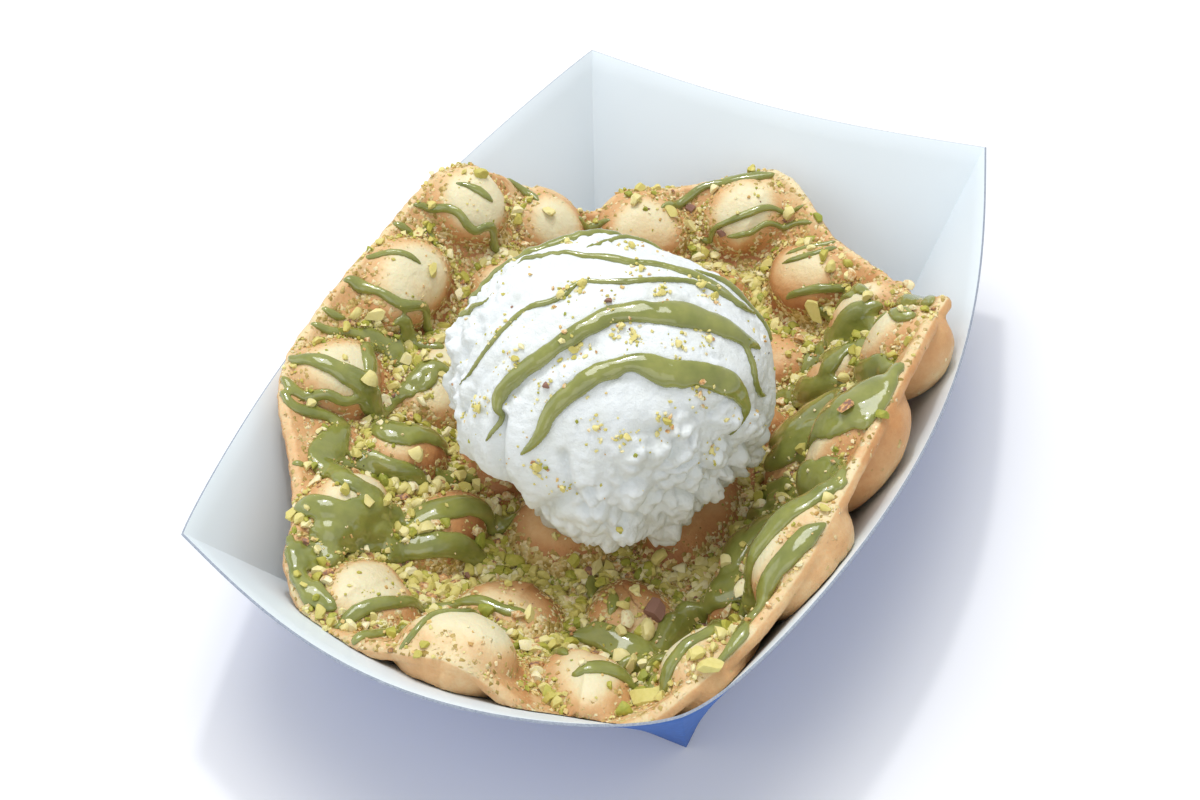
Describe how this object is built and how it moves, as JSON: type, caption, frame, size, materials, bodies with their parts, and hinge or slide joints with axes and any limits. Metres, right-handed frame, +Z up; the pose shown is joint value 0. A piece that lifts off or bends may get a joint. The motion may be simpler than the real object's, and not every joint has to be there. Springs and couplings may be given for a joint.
{
  "type": "bubble waffle",
  "caption": "Bubble waffle cupped in a flared paper food tray, topped with a scoop of cream, poured sauce and chopped nuts.",
  "frame": {"origin": "centre of the paper tray's flat underside", "axes": "+Z up; +Y along the tray; +X across it"},
  "size_m": [0.1661, 0.229, 0.088],
  "materials": {
    "board": "smooth coated paper board, pale inside and blue outside",
    "waffle_crust": "baked egg batter, golden with paler bubble tops",
    "cream": "cold cream, soft and slightly rough",
    "sauce": "thick glossy green nut sauce",
    "nuts": "dry chopped pistachio nuts"
  },
  "bodies": {
    "root": {"paper_tray": "board", "waffle": "waffle_crust", "cream_scoop": "cream"}
  },
  "joints": []
}
